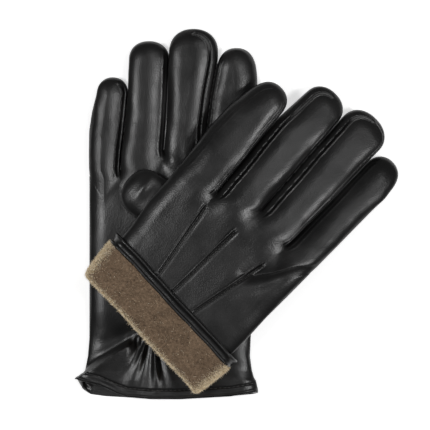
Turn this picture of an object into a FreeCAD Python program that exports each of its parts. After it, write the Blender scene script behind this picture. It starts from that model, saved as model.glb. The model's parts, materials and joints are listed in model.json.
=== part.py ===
import FreeCAD, Part
import math
import os

from FreeCAD import Placement, Rotation, Vector

# A pair of lined leather dress gloves. The right glove lies flat with its palm up; the left glove lies
# across it with its back up and its cuff turned back, so that the lining shows.
# Millimetres. Each glove is drawn in a frame of its own: +X from the little finger to the index finger,
# +Y from the hem to the fingertips, +Z up, with Z = 0 on the side that is underneath.

# Materials and gaps
LEATHER = 0.8
LINING = 1.2
CUFF_LINING = 1.5
GAP = 0.3

# The hand of a glove: (distance from the hem, centre, half width, thickness)
PALM_THICKNESS = 10.5
WRIST_THICKNESS = 10.0
RIGHT_HAND = (
    (0, -3.2, 62.6, 10.0),
    (15, -2.4, 58.5, 9.5),
    (36, -1.4, 55.8, 9.2),
    (70, -1.0, 56.0, PALM_THICKNESS),
    (150, 0.5, 57.5, PALM_THICKNESS),
)
FOLD = 34.0
LEFT_HAND = (
    (FOLD, 3.2, 54.0, WRIST_THICKNESS),
    (70, 3.2, 54.0, WRIST_THICKNESS),
    (110, 1.5, 55.5, PALM_THICKNESS),
    (137, -0.5, 58.0, PALM_THICKNESS),
)

# Cuff: the hem's leather facing, the elastic across the palm side, and the stitches along the hem
HEM_DEPTH = 6.5
ELASTIC_CENTRE = (-2.0, 38.0)
ELASTIC_SIZE = (52.0, 5.0, 0.6)
ELASTIC_CLEARANCE = 0.15
STITCH_ROW = 4.5
STITCH_PITCH = 4.0
STITCH_LENGTH = 2.6
STITCH_RADIUS = 0.3
STITCH_CLEARANCE = 0.15
STITCH_COUNT = 25

# Three raised points on the back: (x at the wrist end, x at the finger end)
POINT_ENDS = ((-17.0, -26.0), (0.6, -0.8), (20.0, 27.8))
POINT_SPAN = (70.0, 126.0)
POINT_WIDTH = 1.2
POINT_HEIGHT = 0.6
POINT_SINK = 0.4

# Fingers: root and tip on the plan, width at the root and near the tip, the length that bends at the
# knuckle, and the slope down from the hand in degrees
FINGER_THICKNESS = 11.4
FINGER_RISE = 22.0
ROOT_OVERRUN = 3.0
DOME_SHARE = 0.46
DOME_ANGLES = (0, 27, 50, 68, 82)
FOURCHETTE_DEPTH = 3.5
FOURCHETTE_STOP = 9.0
FINGERS = ("little", "ring", "middle", "index")
RIGHT_FINGERS = {
    "little": ((-45.6, 150), (-39.6, 220.5), (23.4, 20.5), 32, 0),
    "ring": ((-19.4, 150), (-14.5, 246.6), (28.0, 25.0), 46, 0),
    "middle": ((9.2, 150), (17.5, 255.6), (28.2, 26.5), 50, 0),
    "index": ((40.8, 150), (45.5, 241.5), (33.2, 28.0), 23, 0),
}
LEFT_FINGERS = {
    "little": ((-43.6, 137), (-47.5, 220), (29.6, 25.0), 34, 6),
    "ring": ((-12.7, 137), (-19.5, 245), (31.0, 28.6), 48, 10.5),
    "middle": ((18.2, 137), (14.5, 250.5), (29.4, 27.6), 50, 11),
    "index": ((45.3, 137), (43.2, 234.35), (24.2, 24.8), 46, 12.5),
}

# Thumb: root and tip on the plan, width near the root and near the tip, height of its middle line over
# the palm's face, and the slope down in degrees. A round neck joins it to the hole in the palm.
THUMB_THICKNESS = 11.0
RIGHT_THUMB = ((35, 100), (-31, 149), (28.0, 27.0), 0)
LEFT_THUMB = ((35, 100), (29, 178), (27.0, 25.0), 8.0)
THUMB_STAND = 1.4
NECK_RADIUS = 11.0
NECK_GAP = 0.4

# Places of the two gloves. The object's origin is at the floor, under the middle of the whole pair.
RIGHT_SPOT = (-43.6, -127.8)
PRESSED_FLAT = 0.05
LEFT_CENTRE = (0.0, 110.0)
LEFT_SPOT = (-13.9, -24.9)
LEFT_TURN = -45.0
LEFT_LIFT = 25.0

FAR = 400.0


def slab(y_low, y_high, z_low=-FAR, z_high=FAR, x_low=-FAR, x_high=FAR):
    """A box that keeps what lies between the given limits."""
    corner = Vector(x_low, y_low, z_low)
    return Part.makeBox(x_high - x_low, y_high - y_low, z_high - z_low, corner)


def stadium(station, inset):
    """The outline of the hand at one station: flat above and below, round at both sides."""
    y, x, half_width, thickness = station
    middle, radius, flat = thickness / 2, thickness / 2 - inset, half_width - thickness / 2
    low_left, low_right = Vector(x - flat, y, middle - radius), Vector(x + flat, y, middle - radius)
    top_left, top_right = Vector(x - flat, y, middle + radius), Vector(x + flat, y, middle + radius)
    return Part.Wire(
        [
            Part.LineSegment(low_left, low_right).toShape(),
            Part.Arc(low_right, Vector(x + flat + radius, y, middle), top_right).toShape(),
            Part.LineSegment(top_right, top_left).toShape(),
            Part.Arc(top_left, Vector(x - flat - radius, y, middle), low_left).toShape(),
        ]
    )


def hand_layer(stations, outer, inner):
    """A tube round the hand, from the inset outer to the inset inner; a negative inset is outside."""
    walls = [Part.makeLoft([stadium(s, inset) for s in stations], True, True) for inset in (outer, inner)]
    return walls[0].cut(walls[1])


def ellipse(y, half_width, half_thickness, middle):
    """One section across a finger or thumb."""
    centre = Vector(0, y, middle)
    side, top = Vector(half_width, y, middle), Vector(0, y, middle + half_thickness)
    return Part.Wire([Part.Ellipse(side, top, centre).toShape()])


def round_end(y, half_width, half_thickness, reach):
    """The sections of a half ellipsoid that starts at y; a negative reach runs towards -Y."""
    turns = [math.radians(angle) for angle in DOME_ANGLES]
    return [
        (y + reach * math.sin(a), half_width * math.cos(a), half_thickness * math.cos(a)) for a in turns
    ]


def loft(sections, middle):
    """A closed solid through elliptical sections (y, half width, half thickness)."""
    return Part.makeLoft([ellipse(y, wide, thick, middle) for y, wide, thick in sections], True, True)


def plan_length(finger):
    root, tip = finger[0], finger[1]
    return math.hypot(tip[0] - root[0], tip[1] - root[1])


def finger_length(finger):
    return plan_length(finger) / math.cos(math.radians(finger[4]))


def finger_body(finger, inset):
    """A finger's solid along +Y from its root, taken in by inset all round."""
    widths, length = finger[2], finger_length(finger)
    reach = widths[1] * DOME_SHARE
    shoulder = length - reach
    rise_width = widths[0] + (widths[1] - widths[0]) * FINGER_RISE / shoulder
    half = FINGER_THICKNESS / 2
    sections = [
        (-ROOT_OVERRUN, widths[0] / 2 - inset, PALM_THICKNESS / 2 - inset),
        (FINGER_RISE, rise_width / 2 - inset, half - inset),
    ]
    sections += round_end(shoulder, widths[1] / 2 - inset, half - inset, reach - inset)
    return loft(sections, half)


def finger_layer(finger, outer, inner):
    return finger_body(finger, outer).cut(finger_body(finger, inner))


def finger_place(finger):
    """Carries a finger from its own frame to the glove's."""
    root, tip, slope = finger[0], finger[1], finger[4]
    lean = math.degrees(math.atan2(tip[0] - root[0], tip[1] - root[1]))
    turn = Rotation(Vector(0, 0, 1), -lean).multiply(Rotation(Vector(1, 0, 0), -slope))
    return Placement(Vector(root[0], root[1], 0), turn)


def finger_sides(name):
    """The sides of a finger that face another finger: -1 towards the little finger, +1 towards the index."""
    return [side for side, end in ((-1, FINGERS[0]), (1, FINGERS[-1])) if name != end]


def side_strip(finger, side):
    """What cuts a fourchette, the narrow side piece, out of a finger's leather."""
    edge = min(finger[2]) / 2 - FOURCHETTE_DEPTH
    limits = (edge, FAR) if side > 0 else (-FAR, -edge)
    return slab(-FAR, finger_length(finger) - FOURCHETTE_STOP, x_low=limits[0], x_high=limits[1])


def finger_parts(name, finger):
    """The leather and lining of one finger, each cut in two at the knuckle, in the glove's frame."""
    leather = finger_layer(finger, 0, LEATHER)
    lining = finger_layer(finger, LEATHER, LEATHER + LINING)
    knuckle = finger_length(finger) - finger[3]
    stall, tip = slab(-FAR, knuckle - GAP / 2), slab(knuckle + GAP / 2, FAR)
    strips = {side: side_strip(finger, side) for side in finger_sides(name)}
    panels = leather
    for strip in strips.values():
        panels = panels.cut(strip)
    parts = {
        "stall": [panels.common(stall)],
        "fingertip": [panels.common(tip)],
        "tip_fourchettes": [leather.common(strip).common(tip) for strip in strips.values()],
        "stall_lining": [lining.common(stall)],
        "tip_lining": [lining.common(tip)],
    }
    for side, strip in strips.items():
        parts["fork", side] = [leather.common(strip).common(stall)]
    place = finger_place(finger)
    hand_end = finger[0][1]
    placed = {}
    for piece, shapes in parts.items():
        for shape in shapes:
            shape.Placement = place.multiply(shape.Placement)
        placed[piece] = [shape.common(slab(hand_end, FAR)) for shape in shapes]
    return placed


def thumb_frame(thumb, palm_up):
    """Carries a thumb, drawn along +Y with its middle line at Z = 0, to the glove's frame."""
    root, tip, slope = thumb[0], thumb[1], thumb[3]
    reach = THUMB_STAND + THUMB_THICKNESS / 2
    height = PALM_THICKNESS + reach if palm_up else -reach
    lean = math.degrees(math.atan2(tip[0] - root[0], tip[1] - root[1]))
    turn = Rotation(Vector(0, 0, 1), -lean).multiply(Rotation(Vector(1, 0, 0), -slope))
    return Placement(Vector(root[0], root[1], height), turn)


def thumb_body(thumb, palm_up, inset):
    """A thumb with a round end each way, and the neck that joins it to the palm."""
    root, tip, widths, slope = thumb
    length = math.hypot(tip[0] - root[0], tip[1] - root[1]) / math.cos(math.radians(slope))
    reach = widths[1] * DOME_SHARE
    half = THUMB_THICKNESS / 2 - inset
    sections = round_end(0, widths[0] / 2 - inset, half, inset - widths[0] / 2)[::-1]
    sections += round_end(length - reach, widths[1] / 2 - inset, half, reach - inset)
    body = loft(sections, 0)
    body.Placement = thumb_frame(thumb, palm_up)
    middle = body.Placement.Base
    foot = PALM_THICKNESS - LEATHER - inset if palm_up else LEATHER + inset
    up = Vector(0, 0, 1 if palm_up else -1)
    start = Vector(middle.x, middle.y, foot)
    return body.fuse(Part.makeCylinder(NECK_RADIUS - inset, abs(middle.z - foot), start, up))


def thumb_hole(thumb, palm_up):
    """The round hole that the thumb's neck turns in, through the palm's leather and lining."""
    low = PALM_THICKNESS / 2 if palm_up else -1.0
    return Part.makeCylinder(NECK_RADIUS + NECK_GAP, PALM_THICKNESS / 2 + 1.0, Vector(*thumb[0], low))


def thumb_parts(thumb, palm_up):
    outer, middle, inner = (thumb_body(thumb, palm_up, inset) for inset in (0, LEATHER, LEATHER + LINING))
    return {"thumb": [outer.cut(middle)], "thumb_lining": [middle.cut(inner)]}


def back_points(raised):
    """Three narrow tucks on the back, standing on a back that is up and pressed into one that is down."""
    bars = []
    low = PALM_THICKNESS if raised else 0.0
    height = POINT_HEIGHT if raised else POINT_SINK
    half = POINT_WIDTH / 2
    for near, far in POINT_ENDS:
        corners = [
            Vector(near - half, POINT_SPAN[0], low),
            Vector(near + half, POINT_SPAN[0], low),
            Vector(far + half, POINT_SPAN[1], low),
            Vector(far - half, POINT_SPAN[1], low),
        ]
        face = Part.Face(Part.makePolygon(corners + corners[:1]))
        bars.append(face.extrude(Vector(0, 0, height)))
    return bars


def wrist_elastic(palm_up, stations):
    """The flat elastic that gathers the palm side of the wrist, between its leather and its lining."""
    thickness = thickness_at(stations, ELASTIC_CENTRE[1])
    low = thickness - LEATHER - ELASTIC_SIZE[2] - ELASTIC_CLEARANCE
    if not palm_up:
        low = LEATHER + ELASTIC_CLEARANCE
    corner = Vector(
        ELASTIC_CENTRE[0] - ELASTIC_SIZE[0] / 2, ELASTIC_CENTRE[1] - ELASTIC_SIZE[1] / 2, low
    )
    return Part.makeBox(*ELASTIC_SIZE, corner)


def thickness_at(stations, y):
    """The hand's thickness between two stations."""
    for near, far in zip(stations, stations[1:]):
        if near[0] <= y <= far[0]:
            return near[3] + (far[3] - near[3]) * (y - near[0]) / (far[0] - near[0])
    raise ValueError(f"{y} is outside the hand")


def hem_stitches(stations):
    """A row of short stitches through the upper side of the hem."""
    top = thickness_at(stations, STITCH_ROW) + STITCH_RADIUS + STITCH_CLEARANCE
    first = stations[0][1] - STITCH_PITCH * (STITCH_COUNT - 1) / 2
    row = []
    for i in range(STITCH_COUNT):
        start = Vector(first + i * STITCH_PITCH - STITCH_LENGTH / 2, STITCH_ROW, top)
        row.append(Part.makeCylinder(STITCH_RADIUS, STITCH_LENGTH, start, Vector(1, 0, 0)))
    return row


def turned_cuff():
    """The left cuff, turned back over the wrist in two halves: leather inside, lining outside, and the
    leather hem at the end nearest the fingers."""
    stations = ((FOLD, *LEFT_HAND[0][1:]), (2 * FOLD, *LEFT_HAND[0][1:]))
    outside = -GAP - LEATHER
    layers = {
        "leather": hand_layer(stations, outside, -GAP),
        "lining": hand_layer(stations, outside - CUFF_LINING, outside).common(slab(0, 2 * FOLD - HEM_DEPTH)),
        "hem": hand_layer(stations, outside - LEATHER, outside).common(slab(2 * FOLD - HEM_DEPTH, FAR)),
    }
    middle = WRIST_THICKNESS / 2
    halves = {"back": slab(-FAR, FAR, z_low=middle + GAP / 2), "palm": slab(-FAR, FAR, z_high=middle - GAP / 2)}
    parts = {}
    for side, keep in halves.items():
        for layer, tube in layers.items():
            parts[f"cuff_{side}_{layer}"] = [tube.common(keep)]
    return parts


def glove(stations, fingers, thumb, palm_up):
    """Every piece of one glove but its cuff, in the glove's frame, as {name: solids}."""
    middle = PALM_THICKNESS / 2
    skin = hand_layer(stations, 0, LEATHER)
    upper, lower = skin.common(slab(-FAR, FAR, z_low=middle)), skin.common(slab(-FAR, FAR, z_high=middle))
    palm, back = (upper, lower) if palm_up else (lower, upper)
    points = back_points(raised=not palm_up)
    elastic = wrist_elastic(palm_up, stations)
    hole = thumb_hole(thumb, palm_up)
    if palm_up:
        for bar in points:
            back = back.cut(bar)
    lining_start = HEM_DEPTH if palm_up else 0.0
    lining = hand_layer(stations, LEATHER, LEATHER + LINING).common(slab(lining_start, FAR))
    parts = {
        "palm_panel": [palm.cut(hole)],
        "back_panel": [back],
        "back_points": points,
        "wrist_elastic": [elastic],
        "hand_lining": [lining.cut(elastic).cut(hole)],
        **thumb_parts(thumb, palm_up),
    }
    forks = {}
    for i, name in enumerate(FINGERS):
        pieces = finger_parts(name, fingers[name])
        parts["hand_lining"] += pieces.pop("stall_lining")
        for side in finger_sides(name):
            pair = FINGERS[i - 1 : i + 1] if side < 0 else FINGERS[i : i + 2]
            forks.setdefault("_".join(pair) + "_fork", []).extend(pieces.pop(("fork", side)))
        for piece, shapes in pieces.items():
            parts[f"{name}_{piece}"] = shapes
    parts.update(forks)
    return parts


def place_right():
    return Placement(Vector(*RIGHT_SPOT, -PRESSED_FLAT), Rotation())


def place_left():
    turn = Rotation(Vector(0, 0, 1), LEFT_TURN)
    centre = turn.multVec(Vector(*LEFT_CENTRE, 0))
    return Placement(Vector(*LEFT_SPOT, LEFT_LIFT) - centre, turn)


def right_glove():
    """The lower glove, whose own weight presses its underside flat against the floor."""
    parts = glove(RIGHT_HAND, RIGHT_FINGERS, RIGHT_THUMB, palm_up=True)
    parts["hem_facing"] = [hand_layer(RIGHT_HAND, LEATHER, 2 * LEATHER).common(slab(0, HEM_DEPTH))]
    parts["hem_stitching"] = hem_stitches(RIGHT_HAND)
    above_floor = slab(-FAR, FAR, z_low=PRESSED_FLAT)
    return {name: [shape.common(above_floor) for shape in shapes] for name, shapes in parts.items()}


def left_glove():
    parts = glove(LEFT_HAND, LEFT_FINGERS, LEFT_THUMB, palm_up=False)
    parts.update(turned_cuff())
    return parts


def export(side, parts, place):
    """Writes each piece to its own file, as its separate solids."""
    for name, shapes in parts.items():
        solids = []
        for shape in shapes:
            placed = shape.copy()
            placed.Placement = place.multiply(placed.Placement)
            solids += placed.Solids
        Part.makeCompound(solids).exportStep(os.path.join("parts", f"{side}_{name}.step"))


def build():
    os.makedirs("parts", exist_ok=True)
    export("right", right_glove(), place_right())
    export("left", left_glove(), place_left())


if __name__ == "__main__":
    build()
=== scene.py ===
import bpy
import json
import math
import numpy as np
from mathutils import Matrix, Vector
from mathutils.bvhtree import BVHTree


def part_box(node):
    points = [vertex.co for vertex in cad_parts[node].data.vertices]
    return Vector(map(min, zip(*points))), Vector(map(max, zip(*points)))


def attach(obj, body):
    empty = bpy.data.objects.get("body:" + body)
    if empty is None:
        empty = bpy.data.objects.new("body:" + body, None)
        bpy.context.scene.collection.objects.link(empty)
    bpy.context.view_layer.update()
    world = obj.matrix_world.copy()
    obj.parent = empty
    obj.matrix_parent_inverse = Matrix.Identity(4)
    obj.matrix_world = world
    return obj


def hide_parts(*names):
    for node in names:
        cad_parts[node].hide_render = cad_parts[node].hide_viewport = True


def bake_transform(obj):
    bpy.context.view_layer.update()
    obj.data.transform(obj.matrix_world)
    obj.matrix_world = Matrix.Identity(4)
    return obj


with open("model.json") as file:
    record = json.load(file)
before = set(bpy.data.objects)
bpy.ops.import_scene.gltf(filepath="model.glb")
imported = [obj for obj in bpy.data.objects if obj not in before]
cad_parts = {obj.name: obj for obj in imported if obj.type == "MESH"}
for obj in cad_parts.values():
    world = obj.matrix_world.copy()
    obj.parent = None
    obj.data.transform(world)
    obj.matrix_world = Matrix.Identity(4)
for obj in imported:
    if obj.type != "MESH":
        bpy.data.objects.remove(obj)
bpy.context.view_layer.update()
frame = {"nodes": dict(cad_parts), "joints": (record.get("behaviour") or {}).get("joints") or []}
MM = 0.001
joints = {joint["name"]: joint for joint in frame["joints"]}

# ---------------------------------------------------------------------------------------------------
# The table, the light and the camera. The pair lies on a white table under three soft lights in a pale
# room, and is seen from straight above.


def linear(hex_colour):
    """An sRGB hex colour as linear values, with alpha 1."""
    parts = [int(hex_colour[i : i + 2], 16) / 255 for i in (1, 3, 5)]
    return tuple(c / 12.92 if c <= 0.04045 else ((c + 0.055) / 1.055) ** 2.4 for c in parts) + (1.0,)


def node(tree, kind, links=(), **settings):
    """Adds a node; inputs are set by name, and links are (input, socket it comes from)."""
    made = tree.nodes.new(kind)
    for key, value in settings.items():
        if hasattr(made, key):
            setattr(made, key, value)
        else:
            made.inputs[key.replace("_", " ")].default_value = value
    for name, source in links:
        tree.links.new(source, made.inputs[name])
    return made


def new_material(name):
    """A new material, its node tree and its shader."""
    material = bpy.data.materials.new(name)
    material.use_nodes = True
    tree = material.node_tree
    return material, tree, tree.nodes["Principled BSDF"]


# A matt white laminate that stays evenly white round the gloves, with only their faint shadows on it.
table_white, tree, shader = new_material("matt_white_laminate")
shader.inputs["Base Color"].default_value = linear("#F6F6F6")
shader.inputs["Roughness"].default_value = 0.9
shader.inputs["Specular IOR Level"].default_value = 0.1
shader.inputs["Emission Color"].default_value = linear("#FFFFFF")
shader.inputs["Emission Strength"].default_value = 0.55
TABLE_SIZE = 6.0
TABLE_DROP = 0.0002
bpy.ops.mesh.primitive_plane_add(size=TABLE_SIZE, location=(0, 0, -TABLE_DROP))
table = bpy.context.object
table.name = "table"
table.data.materials.append(table_white)

scene = bpy.context.scene
scene.view_settings.view_transform = "Standard"
world = bpy.data.worlds.new("soft_white_room")
scene.world = world
world.use_nodes = True
world.node_tree.nodes["Background"].inputs["Color"].default_value = (1.0, 1.0, 1.0, 1.0)
world.node_tree.nodes["Background"].inputs["Strength"].default_value = 0.16


def soft_light(name, place, size, power):
    """A square soft light, its side in metres and its power in watts, that faces the pair's middle."""
    data = bpy.data.lights.new(name, "AREA")
    data.shape, data.size, data.energy = "SQUARE", size, power
    lamp = bpy.data.objects.new(name, data)
    lamp.location = place
    lamp.rotation_mode = "QUATERNION"
    lamp.rotation_quaternion = (-Vector(place)).to_track_quat("-Z", "Y")
    scene.collection.objects.link(lamp)


soft_light("light_left", (-0.50, 0.04, 1.15), 0.28, 5.2)
soft_light("light_right", (0.64, -0.10, 1.10), 0.28, 5.6)
soft_light("light_far", (0.40, 0.42, 1.20), 0.34, 1.3)

CAMERA_DISTANCE = 2.5
VIEW_WIDTH = 0.2954
CAMERA_AIM = (-0.0144, -0.0007, 0.015)
camera_data = bpy.data.cameras.new("camera")
camera_data.lens = camera_data.sensor_width * CAMERA_DISTANCE / VIEW_WIDTH
camera = bpy.data.objects.new("camera", camera_data)
camera.location = Vector(CAMERA_AIM) + Vector((0, 0, CAMERA_DISTANCE))
camera_data.clip_end = 10.0
scene.collection.objects.link(camera)
scene.camera = camera

# ---------------------------------------------------------------------------------------------------
# The trank of the right glove: one cut of smooth black lambskin that makes the palm, the back and the
# fronts and backs of the fingers, folded at the little finger's side. It lies with its palm up.
# A glove is drawn in millimetres in its own frame: x from the little finger to the index finger, y
# from the hem to the fingertips, z up from its underside.

FINGERS = ("little", "ring", "middle", "index")
STEP = 0.6


class Glove:
    """Where a glove lies, and its outline as (y, left edge, right edge) rows."""

    def __init__(self, side, origin, along_x, palm, fingers, tips, slopes, webs, palm_slope, seams):
        self.side, self.origin = side, np.array(origin) / MM
        self.along_x = np.array(along_x)
        self.along_y = np.array((-along_x[1], along_x[0], 0.0))
        self.palm, self.fingers, self.tips = np.array(palm, float), fingers, tips
        self.slopes, self.webs, self.palm_slope, self.seams = slopes, webs, palm_slope, seams
        self.seed = 10 if side == "left" else 0
        self.fall_start = 136.0
        self.lean = 0.5 if side == "left" else -0.5
        self.wall, self.mouth_span = (2.0, (20.0, 62.0)) if side == "right" else (1.4, (46.0, 74.0))

    def place(self, points):
        """Glove millimetres to metres in the object's frame."""
        p = np.asarray(points, float)
        rise = np.array((0.0, 0.0, 1.0))
        moved = self.origin + p[:, :1] * self.along_x + p[:, 1:2] * self.along_y + p[:, 2:3] * rise
        return moved * MM


def softplus(value, width):
    """0 far below 0 and the value itself far above, with a bend of the given width between."""
    return width * np.logaddexp(0.0, value / width)


def smooth(value):
    """0 below 0, 1 above 1, and smooth between."""
    t = np.clip(value, 0.0, 1.0)
    return t * t * (3.0 - 2.0 * t)


def bump(value, centre, width):
    """A smooth hill of height 1 round a centre."""
    return np.exp(-(((value - centre) / width) ** 2))


def pillow(inside, lift, half, rounding):
    """Below 0 inside a flat pillow: inside is the distance in from its edge, lift the height over its
    middle, half its half thickness and rounding the width of its rounded side."""
    rim = np.maximum(rounding - inside, 0.0)
    return (np.hypot(rim, lift * rounding / half) - rounding) * half / rounding


def soft_union(a, b, width):
    """The lower of two fields, with the corner between them rounded over the width."""
    share = np.clip(0.5 + 0.5 * (b - a) / width, 0.0, 1.0)
    return b * (1 - share) + a * share - width * share * (1 - share)


def rumple(x, y, size, seed):
    """Smooth random heights of about -1 to 1, with hills of the given size."""
    rng = np.random.default_rng(seed)
    total = 0.0
    for _ in range(6):
        angle, phase = rng.uniform(0, 2 * math.pi, 2)
        turns = 2 * math.pi / (size * rng.uniform(0.8, 1.9))
        total += np.sin(turns * (x * math.cos(angle) + y * math.sin(angle)) + phase)
    return total / 3.2


def row_edges(rows, y, blur=5.0):
    """The left and right edges at y, with the corners between the rows rounded over the blur."""
    rows = np.array(rows, float)
    apart = 0.5
    fine = np.arange(rows[0, 0] - 2 * blur, rows[-1, 0] + 2 * blur, apart)
    padded = np.arange(fine[0] - 2 * blur, fine[-1] + 2 * blur, apart)
    weight = np.hanning(int(4 * blur) + 1)
    start = padded[0] + (len(weight) - 1) * apart / 2
    edges = []
    for column in (1, 2):
        sharp = np.interp(padded, rows[:, 0], rows[:, column])
        blurred = np.convolve(sharp, weight / weight.sum(), "valid")
        edges.append(np.interp(y, start + apart * np.arange(len(blurred)), blurred))
    return edges


FINGER_HALF = 6.3
SIDE_ROUNDING = 12.5
FINGER_GAP = 0.2


def finger_plan(glove, name, x, y):
    """Distance in from the finger's edge, how far out the point is towards the index side (-1 to 1),
    and how far into the round end it is (0 to 1)."""
    left, right = row_edges(glove.fingers[name], y)
    centre, half = (left + right) / 2, (right - left) / 2
    shoulder, tip = glove.tips[name]
    out = (x - centre) / half
    end = np.maximum((y - shoulder) / (tip - shoulder), 0.0)
    reach = (np.abs(out) ** 2.2 + end**2.2) ** (1 / 2.2)
    return half * (1 - reach) - FINGER_GAP, out, end


def seam_relief(inside, out, end, seams):
    """The welt and groove of a finger's two side seams, which run off over the fingertip."""
    total = 0.0
    for side, seam in ((-1, seams[0]), (1, seams[1])):
        if seam is None:
            continue
        inset, strength, stop = seam
        mine = smooth((side * out - 0.02) / 0.15) * (1 - smooth((end - stop) / 0.25))
        welt = 0.30 * bump(inside, inset + 0.65, 0.5) - 0.60 * bump(inside, inset - 0.3, 0.45)
        total = total + strength * mine * (welt - 0.3 * smooth((inset - inside) / 1.2))
    return total


def glove_plan(glove, x, y):
    """Distance in from the outline, half thickness, height of the middle and seam relief."""
    left, right = row_edges(glove.palm[:, :3], y, 1.5)
    hand_half = np.interp(y, glove.palm[:, 0], glove.palm[:, 3])
    end = np.interp(x, *zip(*glove.webs))
    sides = np.minimum(x - left, right - x)
    ahead = end - y + 1.0
    hand = np.minimum(sides, np.where(ahead > 0, 0.55 * ahead, ahead))
    fall = softplus(y - glove.fall_start, 7.0)
    best, drop, relief = -1e3, 0.0, 0.0
    for i, name in enumerate(FINGERS):
        inside, out, tip_end = finger_plan(glove, name, x, y)
        nearer = inside > best
        best = np.maximum(best, inside)
        drop = np.where(nearer, math.tan(math.radians(glove.slopes[name])) * fall, drop)
        sewn = smooth((y - end) / 7.0)
        lift = 0.26 * rumple(x, y, 30.0, 100 + i + glove.seed)
        lift = lift + 0.04 * rumple(x, y, 9.0, 200 + i + glove.seed)
        mark = seam_relief(inside, out, tip_end, glove.seams[name]) * sewn
        shown = smooth((y - end) / 14.0)
        relief = np.where(nearer, lift * shown + mark, relief)
    share = smooth((end - y + 26.0) / 26.0)
    drop = drop * (1 - share) + math.tan(math.radians(glove.palm_slope)) * fall * share
    best = np.where(y < end, np.minimum(best, sides), best)
    blend = 0.3 + 6.0 * smooth(sides / 32.0)
    inside = -soft_union(-hand, -best, blend)
    inside = np.where(y > end + 8.0, best, inside)
    half = hand_half + (FINGER_HALF - hand_half) * smooth((y - end + 25.0) / 40.0)
    return inside, half, drop, relief


def glove_field(glove, x, y, z):
    """Below 0 inside the leather of the whole glove but its thumb."""
    return glove.mouth(*glove_body(glove, x, y, z), x, y)


def glove_body(glove, x, y, z):
    """The same without the glove's mouth, with the distance in, the height over the middle and half
    the thickness."""
    inside, half, drop, relief = glove_plan(glove, x, y)
    lift = z - half + drop
    relief = relief + 0.34 * rumple(x, y, 44.0, 50 + glove.seed)
    relief = relief + 0.05 * rumple(x, y, 13.0, 51 + glove.seed)
    relief = relief + glove.creases(x, y, lift)
    body = pillow(inside, lift, half, SIDE_ROUNDING) - relief * smooth((np.abs(lift) - 1.0) / 3.0)
    return body, inside, lift, half


def lean(glove, skin):
    """The fingers lean on each other a little, so that nothing shows between them from above and the
    fourchettes on one side of each finger show."""
    vertices, faces, normals = skin
    x, y, z = vertices.T
    _, half, drop, _ = glove_plan(glove, x, y)
    amount = glove.lean * smooth((y - np.interp(x, *zip(*glove.webs)) + 2.0) / 10.0)
    vertices = vertices + np.stack([amount * (z - half + drop), 0 * x, 0 * x], 1)
    normals = normals - np.stack([0 * x, 0 * x, amount * normals[:, 0]], 1)
    return vertices, faces, normals / np.linalg.norm(normals, axis=1)[:, None]


def surface_net(values, origin, step):
    """The surface where the values pass 0, as vertices and four-sided faces that look outwards."""
    below = values < 0
    cells = tuple(n - 1 for n in values.shape)
    total, count = np.zeros(cells + (3,)), np.zeros(cells)
    for axis in range(3):
        others = [a for a in range(3) if a != axis]
        for a in (0, 1):
            for b in (0, 1):
                start = [slice(0, -1)] * 3
                start[others[0]] = slice(a, values.shape[others[0]] - 1 + a)
                start[others[1]] = slice(b, values.shape[others[1]] - 1 + b)
                stop = list(start)
                stop[axis] = slice(1, None)
                first, last = values[tuple(start)], values[tuple(stop)]
                crossed = below[tuple(start)] != below[tuple(stop)]
                share = np.where(crossed, first / np.where(crossed, first - last, 1.0), 0.0)
                total[..., axis] += share
                total[..., others[0]] += crossed * a
                total[..., others[1]] += crossed * b
                count += crossed
    used = count > 0
    index = np.full(cells, -1)
    index[used] = np.arange(used.sum())
    corner = np.argwhere(used)
    vertices = origin + step * (corner + total[used] / count[used][:, None])
    faces = []
    for axis in range(3):
        u, v = [(1, 2), (2, 0), (0, 1)][axis]
        start = [slice(1, -1)] * 3
        start[axis] = slice(0, -1)
        stop = list(start)
        stop[axis] = slice(1, None)
        first, last = below[tuple(start)], below[tuple(stop)]
        at = np.argwhere(first != last)
        out = first[tuple(at.T)]
        at[:, [a for a in range(3) if a != axis]] += 1
        ring = []
        for du, dv in ((-1, -1), (0, -1), (0, 0), (-1, 0)):
            cell = at.copy()
            cell[:, u] += du
            cell[:, v] += dv
            ring.append(index[tuple(cell.T)])
        quads = np.stack(ring, 1)
        quads[~out] = quads[~out][:, ::-1]
        faces.append(quads)
    return vertices, np.concatenate(faces)


def shell(field, low, high, step=STEP):
    """The skin of a field between two corners: its vertices, drawn onto it, its faces and normals."""
    steps = np.array((step, step, step))
    sides = [np.arange(a, b + s, s) for a, b, s in zip(low, high, steps)]
    grid = np.meshgrid(*sides, indexing="ij", sparse=True)
    vertices, faces = surface_net(field(*grid), np.array(low, float), steps)
    for _ in range(2):
        slope, value = gradient(field, vertices)
        pull = value[:, None] * slope / np.maximum((slope**2).sum(1), 0.05)[:, None]
        length = np.linalg.norm(pull, axis=1)[:, None]
        vertices = vertices - pull * np.minimum(1.0, 0.5 * step / np.maximum(length, 1e-9))
    slope, _ = gradient(field, vertices)
    return vertices, faces, slope / np.maximum(np.linalg.norm(slope, axis=1), 1e-9)[:, None]


def gradient(field, points):
    """The slope of a field at points, and its value there."""
    tiny = 0.05
    value = field(*points.T)
    slope = np.empty_like(points)
    for axis in range(3):
        moved = points.copy()
        moved[:, axis] += tiny
        slope[:, axis] = (field(*moved.T) - value) / tiny
    return slope, value


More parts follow.
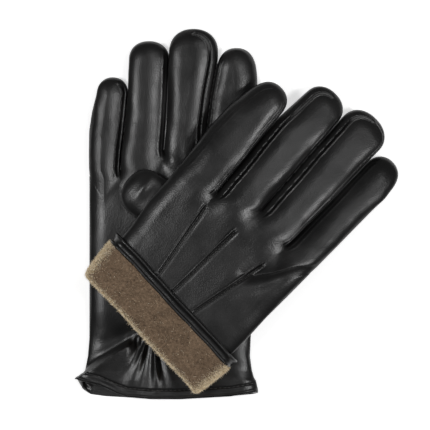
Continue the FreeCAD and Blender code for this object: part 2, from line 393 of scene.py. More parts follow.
def piece(name, vertices, faces, material, normals=None):
    """A smooth mesh object from vertices in metres; unused vertices are dropped."""
    faces = np.asarray(faces)
    kept, renumbered = np.unique(faces, return_inverse=True)
    vertices = np.asarray(vertices)[kept]
    faces = renumbered.reshape(faces.shape)
    mesh = bpy.data.meshes.new(name)
    mesh.vertices.add(len(vertices))
    mesh.vertices.foreach_set("co", vertices.astype(np.float32).ravel())
    sides = faces.shape[1]
    mesh.loops.add(faces.size)
    mesh.loops.foreach_set("vertex_index", faces.ravel().astype(np.int32))
    mesh.polygons.add(len(faces))
    mesh.polygons.foreach_set("loop_start", np.arange(0, faces.size, sides, dtype=np.int32))
    mesh.update(calc_edges=True)
    mesh.polygons.foreach_set("use_smooth", np.ones(len(faces), bool))
    if normals is not None:
        mesh.normals_split_custom_set_from_vertices(np.asarray(normals)[kept])
    mesh.materials.append(material)
    made = bpy.data.objects.new(name, mesh)
    scene.collection.objects.link(made)
    return made


# Black lambskin, drum-dyed and lightly polished: a deep black with a fine pebble that breaks its soft
# shine, and wear that shows as a slightly duller patch here and there.
nappa, tree, shader = new_material("black_polished_nappa")
GRAIN_MM, WRINKLE_MM, PATCH_MM = 0.9, 5.0, 22.0
place = node(tree, "ShaderNodeTexCoord").outputs["Object"]
pebble = node(
    tree, "ShaderNodeTexVoronoi", [("Vector", place)],
    feature="F1", Scale=1000 / GRAIN_MM, Randomness=1.0,
)
wrinkle = node(
    tree, "ShaderNodeTexNoise", [("Vector", place)], Scale=1000 / WRINKLE_MM, Detail=4.0, Roughness=0.6
)
patch = node(
    tree, "ShaderNodeTexNoise", [("Vector", place)], Scale=1000 / PATCH_MM, Detail=3.0, Roughness=0.55
)
tone = node(tree, "ShaderNodeValToRGB", [("Fac", patch.outputs["Fac"])])
tone.color_ramp.elements[0].position, tone.color_ramp.elements[0].color = 0.35, linear("#090909")
tone.color_ramp.elements[1].position, tone.color_ramp.elements[1].color = 0.70, linear("#111010")
dull = node(
    tree, "ShaderNodeMapRange", [("Value", patch.outputs["Fac"])],
    From_Min=0.3, From_Max=0.7, To_Min=0.28, To_Max=0.38,
)
grain = node(
    tree, "ShaderNodeBump", [("Height", pebble.outputs["Distance"])], Strength=0.36, Distance=0.00014
)
creased = node(
    tree, "ShaderNodeBump", [("Height", wrinkle.outputs["Fac"]), ("Normal", grain.outputs["Normal"])],
    Strength=0.15, Distance=0.0006,
)
tree.links.new(tone.outputs["Color"], shader.inputs["Base Color"])
tree.links.new(dull.outputs["Result"], shader.inputs["Roughness"])
tree.links.new(creased.outputs["Normal"], shader.inputs["Normal"])
shader.inputs["IOR"].default_value = 1.45
shader.inputs["Specular IOR Level"].default_value = 0.5

hem_low, hem_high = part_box("right_hem_facing")
RIGHT_HEM_CENTRE = -3.2
right_origin = ((hem_low.x + hem_high.x) / 2 - RIGHT_HEM_CENTRE * MM, hem_low.y, 0.0)
right = Glove(
    "right",
    right_origin,
    (1.0, 0.0, 0.0),
    palm=[
        (-2, -61, 59.2, 5.2),
        (7, -63.6, 58.9, 5.2),
        (13, -66, 57.4, 5.2),
        (15, -64.6, 56.0, 5.1),
        (20, -60.4, 54.6, 4.9),
        (30, -58.5, 53.3, 4.7),
        (42, -57.5, 53.8, 4.7),
        (60, -57.4, 54.9, 5.1),
        (90, -57.4, 55.8, 5.25),
        (150, -57.4, 58.0, 5.4),
        (170, -57.6, 58.1, 5.6),
    ],
    fingers={
        "little": [
            (150, -57.4, -36.6), (170, -57.6, -34.9), (185, -57.4, -33.3), (199, -55.3, -31.8),
            (211, -51.8, -30.6),
        ],
        "ring": [
            (150, -36.4, -7.8), (166, -35.1, -6.5), (192, -32.5, -4.5), (213, -30.4, -3.4),
            (233, -29.9, -2.4),
        ],
        "middle": [
            (150, -7.4, 23.2), (166, -6.3, 23.3), (186, -4.4, 23.7), (210, -3.3, 26.6),
            (234, -2.2, 31.2),
        ],
        "index": [
            (150, 23.3, 58.0), (166, 23.4, 58.1), (186, 23.8, 58.2), (210, 26.7, 58.4),
            (223, 29.2, 58.2), (234, 31.3, 56.8),
        ],
    },
    tips={
        "little": (210, 222.3), "ring": (234, 247.2), "middle": (239.5, 255.6), "index": (228, 242.5),
    },
    slopes=dict.fromkeys(FINGERS, 0.0),
    webs=[(-37, 152.5), (-6.9, 166), (24, 158)],
    palm_slope=0.0,
    seams={
        "little": (None, (1.3, 2.2, 0.5)),
        "ring": ((1.6, 0.2, 0.2), (1.1, 0.7, 0.1)),
        "middle": ((1.6, 0.2, 0.2), (3.2, 1.9, 0.75)),
        "index": ((4.2, 1.2, 0.2), None),
    },
)
PALM_HEM = (
    (-66, 14), (-63.5, 13), (-49.8, 9.6), (-39.5, 4.8), (-30.6, 1.6),
    (-15, 0.3), (5, 0.2), (19, 1), (40, 2.2), (59, 5.5),
)
BACK_HEM = (
    (-66, 13.5), (-62.2, 6.9), (-56.7, 3.4), (-46.4, 2), (-29, 1),
    (-15.5, 0), (5, 0), (19, 0.8), (40, 2), (59, 3.8),
)
FACING_DEPTH = 11.0
MOUTH_ROUNDING = 6.0


def hem_line(x, lift):
    """The y of the hem, which stands further back on the palm's side at the flared corner."""
    upper, lower = np.interp(x, *zip(*PALM_HEM)), np.interp(x, *zip(*BACK_HEM))
    return lower + (upper - lower) * smooth(0.5 + 0.5 * lift / 3.5)


def hollow(glove, body, inside, lift, half, y):
    """Below 0 in the open mouth, which narrows into the hand and keeps inside the leather's folds."""
    start, stop = glove.mouth_span
    open_half = np.maximum((half - glove.wall) * (1 - smooth((y - start) / (stop - start))), 0.15)
    space = pillow(inside - glove.wall, lift, open_half, MOUTH_ROUNDING)
    space = np.maximum(space, body + 0.7 * glove.wall)
    return np.where(y > stop, 1.0, space)


def right_mouth(body, inside, lift, half, x, y):
    """The right glove lies pressed flat on the table and its mouth is open."""
    pressed = np.maximum(body, 0.04 - half - lift)
    hemmed = np.maximum(pressed, hem_line(x, lift) - y)
    return np.maximum(hemmed, -hollow(right, body, inside, lift, half, y))


GATHER = (-13.0, 42.0)


def right_creases(x, y, lift):
    """Folds that fan out from the wrist's elastic to the hem, and the crease at the flared corner."""
    up = smooth(lift / 2.0)
    dx, down = x - GATHER[0], GATHER[1] - y
    turn = np.arctan2(dx, np.maximum(down + 12.0, 4.0))
    fan = np.sin(turn * 12.0 + 1.6 * np.sin(turn * 4.3 + 0.9))
    fan = fan + 0.5 * np.sin(turn * 21.0 + 2.0 * np.sin(turn * 6.0))
    reach = smooth((down + 8.0) / 12.0) * (1 - smooth((down - 14.0) / 28.0))
    fan = 1.35 * fan * bump(turn, -0.05, 0.85) * reach
    tight = 0.22 * np.sin(x * 1.3 + 2.6 * np.sin(x * 0.27)) * bump(y, 41.0, 4.5) * bump(x, -12.0, 20.0)
    pinch = -2.0 * bump(y, 42.0, 8.0) * bump(x, -8.0, 36.0)
    line = 37.0 + (x + 30.0) * 0.62
    ridge = 2.6 * np.exp(-np.abs(y - line) / np.where(y > line, 2.4, 10.0)) * smooth((-24.0 - x) / 8.0)
    dip = -1.5 * bump(y, line + 7.0, 6.0) * smooth((-20.0 - x) / 14.0)
    from_hem = y - hem_line(x, lift)
    hem_welt = 0.45 * bump(from_hem, 1.4, 0.9) - 0.5 * bump(from_hem, 6.3, 0.7)
    web = 0.9 * bump(x, -0.5, 5.0) * bump(y, 164.0, 6.0)
    return up * (fan + tight + pinch + ridge + dip + web) + hem_welt


right.mouth, right.creases = right_mouth, right_creases
low, high = (-68, -3, -1.2), (61, 258, 13.6)
right_skin = shell(lambda x, y, z: glove_field(right, x, y, z), low, high)

# The fourchettes are the narrow strips between the fingers, cut as forks that join two fingers at the
# web. Each glove's skin is cut at its seams, and a little before each finger's knuckle into the
# finger's end.
BEND_BEFORE = BEND_AFTER = 9.0
NO_SEAM = -9.0
MOUTH_SKIN = 0.25


def knuckle(glove, name):
    """The y of a finger's bend, from its joint."""
    at = np.array(joints[f"{glove.side}_{name}_bend"]["pos_m"]) / MM - glove.origin
    return float(at @ glove.along_y)


def cut_glove(glove, skin, material, inner):
    """Makes the trank, the forks and the fingers' ends from one glove's skin, less its inner faces."""
    vertices, faces, normals = skin
    world_vertices = glove.place(vertices)
    world_normals = normals[:, :1] * glove.along_x + normals[:, 1:2] * glove.along_y
    world_normals = world_normals + normals[:, 2:3] * np.array((0.0, 0.0, 1.0))
    x, y, z = vertices[faces].mean(1).T
    owner, depth = np.full(len(faces), -1), np.full(len(faces), -1e3)
    outward = np.zeros(len(faces))
    for i, name in enumerate(FINGERS):
        inside, out, _ = finger_plan(glove, name, x, y)
        nearer = inside > depth
        owner[nearer], depth[nearer], outward[nearer] = i, inside[nearer], out[nearer]
    owner[y < np.interp(x, *zip(*glove.webs)) - 1.0] = -1
    made = {}
    trank = ~inner
    for i, name in enumerate(FINGERS):
        bend = knuckle(glove, name)
        mine = owner == i
        inset = [seam[0] if seam else NO_SEAM for seam in glove.seams[name]]
        if i == 0:
            inset[0] = NO_SEAM
        strip = mine & (depth < np.where(outward > 0, inset[1], inset[0]) - 0.3)
        strip &= y < glove.tips[name][0] + 2.0
        end = mine & (y > bend - BEND_BEFORE)
        made[name, "end"] = end & ~strip
        made[name, "strip"] = end & strip
        for j, side in ((i - 1, -1), (i, 1)):
            if 0 <= j < 3:
                fork = mine & strip & ~end & (outward * side > 0)
                made["fork", j] = made.get(("fork", j), np.zeros(len(faces), bool)) | fork
                trank &= ~fork
        trank &= ~end

    def cut(name, mask):
        return piece(name, world_vertices, faces[mask], material, world_normals)

    side = glove.side
    hand = cut(f"{side}_trank_skin", trank)
    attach(hand, f"{side}_hand")
    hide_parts(f"{side}_palm_panel", f"{side}_back_panel", f"{side}_wrist_elastic")
    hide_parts(*[f"{side}_{name}_stall" for name in FINGERS])
    for j in range(3):
        pair = f"{side}_{FINGERS[j]}_{FINGERS[j + 1]}_fork"
        fork = cut(f"{pair}_skin", made["fork", j])
        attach(fork, f"{side}_hand")
        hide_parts(pair)
    for name in FINGERS:
        bend = knuckle(glove, name)
        middle = float(sum(edge[0] for edge in row_edges(glove.fingers[name], np.array([bend])))) / 2
        ends = (middle, bend - BEND_BEFORE + 0.8, 5), (middle, bend + BEND_AFTER, 5)
        start, stop = glove.place(ends)
        for part, cad in (("end", ("fingertip", "tip_lining")), ("strip", ("tip_fourchettes",))):
            skin_part = cut(f"{side}_{name}_{part}_skin", made[name, part])
            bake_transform(skin_part)
            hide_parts(*[f"{side}_{name}_{c}" for c in cad])
    return world_vertices, world_normals


def mouth_faces(glove, skin):
    """Which faces of a glove's skin line its mouth, and how far in from the hem they are."""
    x, y, z = skin[0][skin[1]].mean(1).T
    body, inside, lift, half = glove_body(glove, x, y, z)
    lining = np.abs(hollow(glove, body, inside, lift, half, y)) < MOUTH_SKIN
    return lining, y - hem_line(x, lift)


lined, depth_in = mouth_faces(right, right_skin)
right_skin = lean(right, right_skin)
right_vertices, right_normals = cut_glove(right, right_skin, nappa, lined)

# The hem of the right glove is turned in as a narrow facing of the same leather, and the lining starts
# behind it.
facing_faces = right_skin[1][lined & (depth_in < FACING_DEPTH)]
facing = piece("right_hem_facing_skin", right_vertices, facing_faces, nappa, right_normals)
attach(facing, "right_hand")
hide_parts("right_hem_facing")

# ---------------------------------------------------------------------------------------------------
# The left glove: the same cut, back up, lying across the right one. Its fingers slope down to the
# table, and three tucks are stitched on its back.

fold_joint = joints["left_cuff_unroll"]
LEFT_FOLD = (3.2, 34.0)
axis = np.array(fold_joint["axis"])
fold_at = np.array(fold_joint["pos_m"]) / MM
left_origin = fold_at - LEFT_FOLD[0] * axis - LEFT_FOLD[1] * np.array((-axis[1], axis[0], 0.0))
left_origin[2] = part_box("left_palm_panel")[0].z / MM
left = Glove(
    "left",
    left_origin * MM,
    tuple(axis),
    palm=[
        (30, -48.6, 56.4, 5.0),
        (62, -49.0, 56.2, 5.0),
        (69, -51.5, 57.9, 5.0),
        (82, -52.6, 57.8, 5.0),
        (102, -56.2, 56.8, 5.2),
        (122, -57.4, 56.9, 5.3),
        (130, -58.5, 56.9, 5.4),
        (156, -61.2, 56.7, 5.6),
    ],
    fingers={
        "little": [
            (130, -58.5, -26.6), (156, -61.2, -29.2), (167, -62.7, -30.2), (187, -63.6, -32.4),
            (204, -61.4, -34.0), (212, -59.6, -34.8),
        ],
        "ring": [
            (130, -26.5, 2.6), (148, -28.3, 2.7), (180, -31.5, 0.6), (204, -33.9, -1.2),
            (232, -32.6, -3.2),
        ],
        "middle": [
            (130, 2.7, 31.8), (148, 2.8, 31.9), (180, 0.7, 31.8), (204, -1.1, 31.2),
            (235, -3.0, 30.7),
        ],
        "index": [
            (130, 31.9, 56.9), (155, 32.0, 56.7), (194, 31.6, 56.6), (218, 31.1, 56.5),
            (228, 30.9, 55.4),
        ],
    },
    tips={
        "little": (208, 220.8), "ring": (231, 244.6), "middle": (237.5, 252.2), "index": (225, 239.4),
    },
    slopes={"little": 6.0, "ring": 10.5, "middle": 11.0, "index": 12.5},
    webs=[(-25.8, 133.6), (3.1, 148.3), (32, 143.2)],
    palm_slope=10.0,
    seams={
        "little": ((3.0, 0.3, 0.5), (3.6, 1.2, 0.3)),
        "ring": ((3.4, 1.3, 0.9), (2.4, 0.4, 0.1)),
        "middle": ((3.4, 1.3, 0.9), (2.6, 0.6, 0.9)),
        "index": ((1.8, 0.5, 0.2), None),
    },
)
POINT_LINES = (
    ((-25.8, 125.3), (-16.5, 71.4)), ((0.0, 127.7), (-1.0, 68.4)), ((29.6, 125.3), (19.0, 70.9)),
)
HAND_END = 35.6


def left_mouth(body, inside, lift, half, x, y):
    """The hand ends inside the fold of its turned-back cuff, and is open there."""
    return np.maximum(np.maximum(body, HAND_END - y), -hollow(left, body, inside, lift, half, y))


def left_creases(x, y, lift):
    """Soft folds over the knuckles and along the index side, and the dents beside the three points."""
    up = smooth(lift / 2.0)
    knuckles = bump(y, 139.0, 13.0) * bump(x, -3.0, 12.0)
    knuckles = knuckles + 0.5 * bump(y, 135.0, 13.0) * bump(x, 16.0, 12.0)
    line = np.interp(x, (24.0, 31.0, 38.0, 57.0), (112.0, 117.0, 126.5, 160.0))
    side = smooth((x - 18.0) / 12.0) * smooth((55.0 - x) / 14.0)
    fold = 2.3 * np.exp(-softplus(np.abs(y - line) - 0.6, 0.5) / np.where(y < line, 4.0, 8.0)) * side
    valley = -1.1 * bump(y, line - 10.0, 8.5) * side
    dents = 0.0
    for (x0, y0), (x1, y1) in POINT_LINES:
        share = (y - y1) / (y0 - y1)
        aside = x - (x1 + (x0 - x1) * share)
        there = smooth((share + 0.06) / 0.08) * (1 - smooth((share - 0.98) / 0.08))
        tuck = 0.5 * np.exp(-np.abs(aside)) - 0.4 * bump(aside, -1.5, 0.8) - 0.2 * bump(aside, 1.7, 1.0)
        dents = dents + there * tuck * (0.9 + 0.8 * bump(share, 0.95, 0.25))
    return up * (knuckles + fold + valley + dents)


left.mouth, left.creases = left_mouth, left_creases
low, high = (-66, 33, -24.0), (64, 255, 13.6)
left_skin = shell(lambda x, y, z: glove_field(left, x, y, z), low, high)
left_lined, _ = mouth_faces(left, left_skin)
left_skin = lean(left, left_skin)
left_vertices, left_normals = cut_glove(left, left_skin, nappa, left_lined)

# ---------------------------------------------------------------------------------------------------
# The lining: a fine knit of tan cashmere, brushed until its loops are hidden under a short soft pile.
# It shows inside the right glove's mouth and all over the left glove's turned-back cuff.

# Brushed cashmere: a warm tan, clouded where the pile lies one way or the other, with no shine.
CLUMP_MM, CLOUD_MM = 1.3, 9.0
cashmere, tree, shader = new_material("brushed_tan_cashmere_knit")
place = node(tree, "ShaderNodeTexCoord").outputs["Object"]
clump = node(
    tree, "ShaderNodeTexNoise", [("Vector", place)], Scale=1000 / CLUMP_MM, Detail=6.0, Roughness=0.7
)
cloud = node(
    tree, "ShaderNodeTexNoise", [("Vector", place)], Scale=1000 / CLOUD_MM, Detail=3.0, Roughness=0.6
)
both = node(
    tree, "ShaderNodeMix", [("A", clump.outputs["Fac"]), ("B", cloud.outputs["Fac"])], Factor=0.22
)
pile = node(tree, "ShaderNodeValToRGB", [("Fac", both.outputs["Result"])])
pile.color_ramp.elements[0].position, pile.color_ramp.elements[0].color = 0.36, linear("#4B3D31")
pile.color_ramp.elements[1].position, pile.color_ramp.elements[1].color = 0.66, linear("#8F7963")
nap = node(tree, "ShaderNodeBump", [("Height", clump.outputs["Fac"])], Strength=0.9, Distance=0.0009)
tree.links.new(pile.outputs["Color"], shader.inputs["Base Color"])
tree.links.new(nap.outputs["Normal"], shader.inputs["Normal"])
shader.inputs["Roughness"].default_value = 0.95
shader.inputs["Specular IOR Level"].default_value = 0.1
shader.inputs["Sheen Weight"].default_value = 0.25
shader.inputs["Sheen Roughness"].default_value = 0.5
shader.inputs["Sheen Tint"].default_value = linear("#A8937A")

lining_faces = right_skin[1][lined & (depth_in >= FACING_DEPTH)]
mouth_lining = piece("right_mouth_lining", right_vertices, lining_faces, cashmere, right_normals)
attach(mouth_lining, "right_hand")
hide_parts("right_hand_lining")
lining_faces = left_skin[1][left_lined]
mouth_lining = piece("left_mouth_lining", left_vertices, lining_faces, cashmere, left_normals)
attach(mouth_lining, "left_hand")

# The left cuff is turned back over the wrist. Each layer is a tube round the wrist, made from a profile
# that runs from the mouth, over the fold and along the outside. The back and palm halves are separate.

CUFF_CENTRE = 3.9
CUFF_Z = 5.0
CUFF_SKEW = -0.033
AROUND = 420


def cuff_half_width(y):
    """Half the cuff's flat width at y, in which the turned-back edge flares out."""
    return np.interp(y, (30.0, 36.0, 62.0, 70.0), (52.2, 52.6, 56.0, 55.8))


def cuff_sweep(name, profile, half, material, roughness, seed):
    """One half of a layer of the cuff, with its profile as (y, offset from the wrist) points."""
    profile = np.array(profile, float)
    fine = np.linspace(0, len(profile) - 1, 6 * (len(profile) - 1) + 1)
    knots = np.arange(len(profile))
    y = np.interp(fine, knots, profile[:, 0])
    offset = np.interp(fine, knots, profile[:, 1])
    for _ in range(3):
        y[1:-1] = (y[:-2] + 2 * y[1:-1] + y[2:]) / 4
        offset[1:-1] = (offset[:-2] + 2 * offset[1:-1] + offset[2:]) / 4
    tall = CUFF_Z + offset
    y, offset, tall, flat = (a[:, None] for a in (y, offset, tall, cuff_half_width(y) - CUFF_Z))
    arc = math.pi * tall / 2
    far = arc + 2 * flat
    run = np.linspace(0, 1, AROUND)[None, :] * (2 * arc + 2 * flat)
    side = np.sign(half)
    turned = np.where(run > far, math.pi / 2 + (run - far) / tall, math.pi / 2)
    angle = np.where(run < arc, run / tall, turned)
    middle = -flat + np.clip(run - arc, 0, 2 * flat)
    ruffle = roughness * rumple(run + 40.0 * side, y + np.zeros_like(run), 13.0, seed)
    tall = tall + ruffle * smooth((offset + 0.2) / 1.5)
    x = CUFF_CENTRE + middle - tall * np.cos(angle)
    z = CUFF_Z + side * tall * np.sin(angle)
    wave = 0.35 * rumple(run, np.zeros_like(run), 30.0, seed + 7)
    rows = y + CUFF_SKEW * (x - CUFF_CENTRE) + wave
    points = np.stack([x, rows, z], -1).reshape(-1, 3)
    n, m = x.shape
    index = np.arange(n * m).reshape(n, m)
    corners = [index[:-1, :-1], index[1:, :-1], index[1:, 1:], index[:-1, 1:]]
    quads = np.stack(corners, -1).reshape(-1, 4)
    if side > 0:
        quads = quads[:, ::-1]
    return piece(name, left.place(points), quads, material)


FOLD_Y = 34.4
# The lining from the fold to the leather hem, and the lining that runs from the fold into the glove.
LINING_PROFILE = (
    (FOLD_Y - 0.5, 0.2), (FOLD_Y - 0.3, 1.7), (FOLD_Y + 0.8, 2.7), (FOLD_Y + 3.0, 3.1),
    (FOLD_Y + 9.0, 3.3), (FOLD_Y + 20.0, 3.3), (FOLD_Y + 26.0, 3.1), (FOLD_Y + 28.0, 2.3),
)
INNER_PROFILE = (
    (FOLD_Y + 7.0, -1.5), (FOLD_Y + 3.0, -1.4), (FOLD_Y + 0.4, -1.0), (FOLD_Y - 0.4, -0.4),
    (FOLD_Y - 0.5, 0.2),
)
# The cuff's leather, which lies between its lining and the hand, and the leather hem with its welt.
UNDER_PROFILE = (
    (FOLD_Y + 0.5, 1.6), (FOLD_Y + 1.2, 0.9), (FOLD_Y + 10.0, 0.6), (60.0, 0.6), (66.5, 0.6),
    (68.2, 0.9),
)
BAND_PROFILE = (
    (61.0, 1.6), (61.3, 2.9), (61.8, 3.5), (62.9, 3.5), (63.4, 2.9), (64.1, 2.5), (65.4, 2.7),
    (66.4, 3.2), (66.9, 4.0), (67.6, 4.5), (68.4, 4.5), (69.0, 3.9), (69.2, 2.6), (68.8, 1.1),
    (66.8, 0.8),
)

# The brushed ends of the fibres stand up from the pile. Along the fold and at both sides they are
# coloured pale cream, a painted highlight for the light they catch there, which gives the cuff its soft
# cream border.
fibre_painted_highlight, tree, shader = new_material("cashmere_fibre_painted_highlight")
place = node(tree, "ShaderNodeTexCoord").outputs["Object"]
lock = node(tree, "ShaderNodeTexNoise", [("Vector", place)], Scale=1000 / 1.6, Detail=3.0)
# Painted highlight: this ramp runs from pale cream to near white, in place of the light on the fibre
# ends.
ends = node(tree, "ShaderNodeValToRGB", [("Fac", lock.outputs["Fac"])])
ends.color_ramp.elements[0].position, ends.color_ramp.elements[0].color = 0.35, linear("#CDB791")
ends.color_ramp.elements[1].position, ends.color_ramp.elements[1].color = 0.68, linear("#FFF4DC")
tree.links.new(ends.outputs["Color"], shader.inputs["Base Color"])
shader.inputs["Roughness"].default_value = 0.9
shader.inputs["Specular IOR Level"].default_value = 0.1
shader.inputs["Sheen Weight"].default_value = 0.3

# The fibres on the flat of the cuff are as tan as the knit, and only break its surface.
tan_fibre, tree, shader = new_material("tan_cashmere_fibre")
place = node(tree, "ShaderNodeTexCoord").outputs["Object"]
lock = node(tree, "ShaderNodeTexNoise", [("Vector", place)], Scale=1000 / 1.1, Detail=4.0)
ends = node(tree, "ShaderNodeValToRGB", [("Fac", lock.outputs["Fac"])])
ends.color_ramp.elements[0].position, ends.color_ramp.elements[0].color = 0.36, linear("#4E3F32")
ends.color_ramp.elements[1].position, ends.color_ramp.elements[1].color = 0.64, linear("#A8937C")
tree.links.new(ends.outputs["Color"], shader.inputs["Base Color"])
shader.inputs["Roughness"].default_value = 0.9
shader.inputs["Specular IOR Level"].default_value = 0.1


def fibres(name, surface, count, edge_share, length, width, material, seed):
    """Short bent fibres, in mm, on a cuff surface: edge_share of them stand at its fold and sides."""
    rng = np.random.default_rng(seed)
    mesh = surface.data
    mesh.calc_loop_triangles()
    centres = np.array([face.center for face in mesh.polygons])
    normals = np.array([face.normal for face in mesh.polygons])
    areas = np.array([face.area for face in mesh.polygons])
    local = (centres / MM - left.origin) @ np.array([left.along_x, left.along_y, (0.0, 0.0, 1.0)]).T
    off, y = local[:, 0] - CUFF_CENTRE, local[:, 1]
    fold = bump(y - CUFF_SKEW * off, FOLD_Y - 0.4, 1.6)
    sides = smooth((np.abs(off) - cuff_half_width(y) + 6.0) / 9.0) ** 2
    edge = areas * np.maximum(fold, 1.2 * sides) + 1e-15
    chance = edge_share * edge / edge.sum() + (1 - edge_share) * areas / areas.sum()
    at = rng.choice(len(centres), count, p=chance)
    root = centres[at] + rng.normal(0, 0.25 * MM, (count, 3))
    away = normals[at] * rng.uniform(0.25, 0.9, (count, 1)) + rng.normal(0, 0.55, (count, 3))
    away /= np.linalg.norm(away, axis=1)[:, None]
    bend = rng.normal(0, 0.45, (count, 3))
    reach = length * MM * rng.uniform(0.5, 1.0, (count, 1))
    root = root - normals[at] * 0.2 * MM
    middle = root + away * reach * 0.5
    end = middle + (away + bend) * reach * 0.5
    across = np.cross(away, rng.normal(0, 1, (count, 3)))
    across *= width * MM / 2 / np.linalg.norm(across, axis=1)[:, None]
    blade = ((root, 1.0), (middle, 0.8), (end, 0.2))
    points = np.stack([spot + sign * share * across for spot, share in blade for sign in (-1, 1)], 1)
    start = 6 * np.arange(count)[:, None]
    quads = np.concatenate([start + np.array((0, 1, 3, 2)), start + np.array((2, 3, 5, 4))])
    return piece(name, points.reshape(-1, 3), quads, material)


# The edge fibres carry the painted highlight colour; the pile fibres keep the knit's own tan.
COATS = (
    ("pile_fibres", 14000, 0.0, 1.3, 0.20, tan_fibre),
    ("edge_fibres", 19000, 0.97, 2.0, 0.19, fibre_painted_highlight),
)
for half_name, half_side in (("back", 1), ("palm", -1)):
    body = f"left_cuff_{half_name}"
    outer = cuff_sweep(f"{body}_lining_pile", LINING_PROFILE, half_side, cashmere, 0.25, 300)
    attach(outer, body)
    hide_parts(f"{body}_lining")
    under = cuff_sweep(f"{body}_leather_skin", UNDER_PROFILE, half_side, nappa, 0.2, 302)
    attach(under, body)
    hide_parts(f"{body}_leather")
    for coat, count, share, length, width, fibre in COATS:
        hairs = fibres(f"{body}_{coat}", outer, count, share, length, width, fibre, 40 + half_side)
        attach(hairs, body)
    band = cuff_sweep(f"{body}_hem_band", BAND_PROFILE, half_side, nappa, 0.12, 301)
    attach(band, body)
    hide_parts(f"{body}_hem")
    inner = cuff_sweep(f"left_fold_lining_{half_name}", INNER_PROFILE, half_side, cashmere, 0.2, 300)
    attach(inner, "left_hand")
    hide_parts("left_hand_lining")

# ---------------------------------------------------------------------------------------------------
# The thumbs: each is its own cut of leather, sewn round into the hole in the palm. The right thumb lies
# folded over its palm; the left one is tucked under its glove.


NECK_RADIUS = 10.6
NECK_REACH = 7.4


def thumb_field(start, tip, widths, blunt, level, slope, palm_side, seed):
    """Below 0 inside a thumb that runs from start to tip, with its half widths at the root, halfway
    and at its blunt end, and inside the neck at its root."""
    start, tip = np.array(start, float), np.array(tip, float)
    length = float(np.linalg.norm(tip - start))
    ux, uy = (tip - start) / length
    shoulder = length - blunt

    def field(x, y, z):
        t = (x - start[0]) * ux + (y - start[1]) * uy
        across = (x - start[0]) * uy - (y - start[1]) * ux
        half = np.interp(t, (0.0, length * 0.5, shoulder), widths)
        out = across / half
        end = np.maximum(np.maximum((t - shoulder) / (length - shoulder), 0.0), -t / widths[0])
        inside = half * (1 - (np.abs(out) ** 2.3 + end**2.3) ** (1 / 2.3))
        lift = z - level + math.tan(math.radians(slope)) * t
        relief = 0.35 * rumple(x, y, 26.0, seed) + 0.05 * rumple(x, y, 9.0, seed + 1)
        relief = relief + 0.8 * bump(t, length - 12.5, 3.0) * bump(across, 3.0, 8.0)
        body = pillow(inside, lift, 5.6, 14.0) - relief * smooth(np.abs(lift) / 3.0)
        neck = np.hypot(x - start[0], y - start[1]) - NECK_RADIUS
        reach = np.maximum(palm_side * (level - z) - NECK_REACH, palm_side * (z - level))
        return soft_union(body, np.maximum(neck, reach), 2.0)

    return field


def make_thumb(glove, field, low, high):
    """A thumb's skin in the nappa; it turns with the thumb's body."""
    vertices, faces, normals = shell(field, low, high)
    turned = normals[:, :1] * glove.along_x + normals[:, 1:2] * glove.along_y
    turned = turned + normals[:, 2:3] * np.array((0.0, 0.0, 1.0))
    thumb = piece(f"{glove.side}_thumb_skin", glove.place(vertices), faces, nappa, turned)
    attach(thumb, f"{glove.side}_thumb_stall")
    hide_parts(f"{glove.side}_thumb", f"{glove.side}_thumb_lining")


THUMB_ROOT = (35, 100)
right_thumb = thumb_field(THUMB_ROOT, (-31.2, 151.0), (14.5, 17.2, 16.9), 17.0, 17.4, 0.0, 1, 500)
make_thumb(right, right_thumb, (-38, 84, 9.2), (51, 162, 24.0))
left_thumb = thumb_field(THUMB_ROOT, (29, 178), (13.0, 13.0, 12.0), 13.0, -6.9, 8.0, -1, 510)
make_thumb(left, left_thumb, (14, 84, -24.5), (51, 180, 1.2))

# ---------------------------------------------------------------------------------------------------
# The points: three narrow tucks on the back, pinched up and stitched from the knuckles to the wrist.

# Waxed thread, a little paler than the leather, with the twist of its plies.
PLY_MM = 1.2
black_thread, tree, shader = new_material("black_waxed_thread")
place = node(tree, "ShaderNodeTexCoord").outputs["Object"]
ply = node(tree, "ShaderNodeTexWave", [("Vector", place)], Scale=1000 / PLY_MM, Distortion=1.5)
twist = node(tree, "ShaderNodeBump", [("Height", ply.outputs["Fac"])], Strength=0.5, Distance=0.0001)
# Painted shade and highlight: the colour follows the plies' twist, darker in their grooves and lighter
# on their ridges.
shade = node(tree, "ShaderNodeValToRGB", [("Fac", ply.outputs["Fac"])])
shade.color_ramp.elements[0].color = linear("#1A1919")
shade.color_ramp.elements[1].color = linear("#4B4947")
tree.links.new(shade.outputs["Color"], shader.inputs["Base Color"])
tree.links.new(twist.outputs["Normal"], shader.inputs["Normal"])
shader.inputs["Roughness"].default_value = 0.5


def tree_of(skin):
    """A glove's skin, ready to be hit by rays, in the glove's own millimetres."""
    return BVHTree.FromPolygons([Vector(v) for v in skin[0]], skin[1].tolist())


def top_of(surface, x, y):
    """The height of a glove's upper face at x and y."""
    return surface.ray_cast(Vector((x, y, 60.0)), Vector((0, 0, -1)))[0].z


def tube(path, across, tall, sides=8):
    """Points and faces of a closed tube with an oval section along a path."""
    path = np.array(path, float)
    ahead = np.gradient(path, axis=0)
    ahead /= np.linalg.norm(ahead, axis=1)[:, None]
    wide = np.cross(ahead, (0.0, 0.0, 1.0))
    wide /= np.linalg.norm(wide, axis=1)[:, None]
    up = np.cross(wide, ahead)
    angle = np.linspace(0, 2 * math.pi, sides, endpoint=False)
    from_end = np.minimum(np.arange(len(path)), np.arange(len(path))[::-1]) / (0.12 * len(path))
    taper = np.sqrt(np.minimum(1.0, from_end + 0.02))
    ring = across * np.cos(angle)[None, :, None] * wide[:, None]
    ring = ring + tall * np.sin(angle)[None, :, None] * up[:, None]
    points = path[:, None] + ring * taper[:, None, None]
    index = np.arange(len(path) * sides).reshape(len(path), sides)
    turned = np.roll(index, -1, axis=1)
    quads = np.stack([index[:-1], turned[:-1], turned[1:], index[1:]], -1).reshape(-1, 4)
    return points.reshape(-1, 3), quads[:, ::-1]


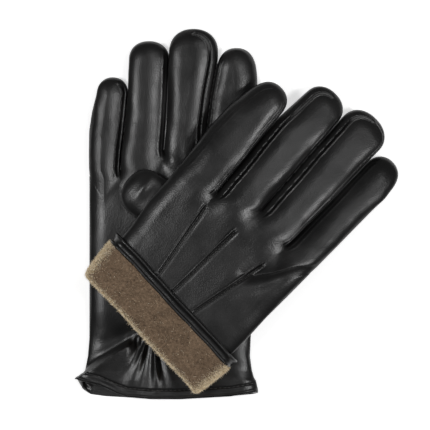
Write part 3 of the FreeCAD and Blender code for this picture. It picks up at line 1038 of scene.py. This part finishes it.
def joined(parts):
    """Several (points, faces) as one."""
    points, faces, count = [], [], 0
    for p, f in parts:
        points.append(p)
        faces.append(f + count)
        count += len(p)
    return np.concatenate(points), np.concatenate(faces)


BAR_HALF_WIDTH, BAR_HEIGHT = 0.4, 0.6
THREAD_ASIDE, THREAD_RADIUS = 0.85, 0.22
left_surface = tree_of(left_skin)
bars, threads = [], []
for (x0, y0), (x1, y1) in POINT_LINES:
    share = np.linspace(0, 1, 70)
    line = [(x0 + (x1 - x0) * s, y0 + (y1 - y0) * s) for s in share]
    path = [(x, y, top_of(left_surface, x, y) + 0.1) for x, y in line]
    bars.append(tube(path, BAR_HALF_WIDTH, BAR_HEIGHT, 10))
    for s in np.arange(0.02, 0.98, 0.045):
        along = np.linspace(s, s + 0.028, 4)
        line = [(x0 + (x1 - x0) * q + THREAD_ASIDE, y0 + (y1 - y0) * q) for q in along]
        path = [(x, y, top_of(left_surface, x, y) + 0.12) for x, y in line]
        threads.append(tube(path, THREAD_RADIUS, THREAD_RADIUS, 6))
points, faces = joined(bars)
points_piece = piece("left_back_point_tucks", left.place(points), faces, nappa)
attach(points_piece, "left_hand")
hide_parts("left_back_points")
points, faces = joined(threads)
point_thread = piece("left_back_point_stitches", left.place(points), faces, black_thread)
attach(point_thread, "left_hand")

# The right glove's own points are on its underside, pressed flat into the same leather.
frame["nodes"]["right_back_points"].data.materials[0] = nappa

# The right hem's row of short stitches, through the leather and its facing.
right_surface = tree_of(right_skin)
HEM_ROW, HEM_PITCH, HEM_STITCH, HEM_THREAD_RADIUS = 6.2, 3.1, 2.2, 0.26
stitches = []
for x in np.arange(-52.0, 54.0, HEM_PITCH):
    run = np.linspace(x, x + HEM_STITCH, 4)
    rows = [float(hem_line(np.array(q), np.array(3.5))) + HEM_ROW for q in run]
    path = [(q, y, top_of(right_surface, q, y) + 0.1) for q, y in zip(run, rows)]
    stitches.append(tube(path, HEM_THREAD_RADIUS, HEM_THREAD_RADIUS, 6))
points, faces = joined(stitches)
hem_thread = piece("right_hem_stitches", right.place(points), faces, black_thread)
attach(hem_thread, "right_hand")
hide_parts("right_hem_stitching")
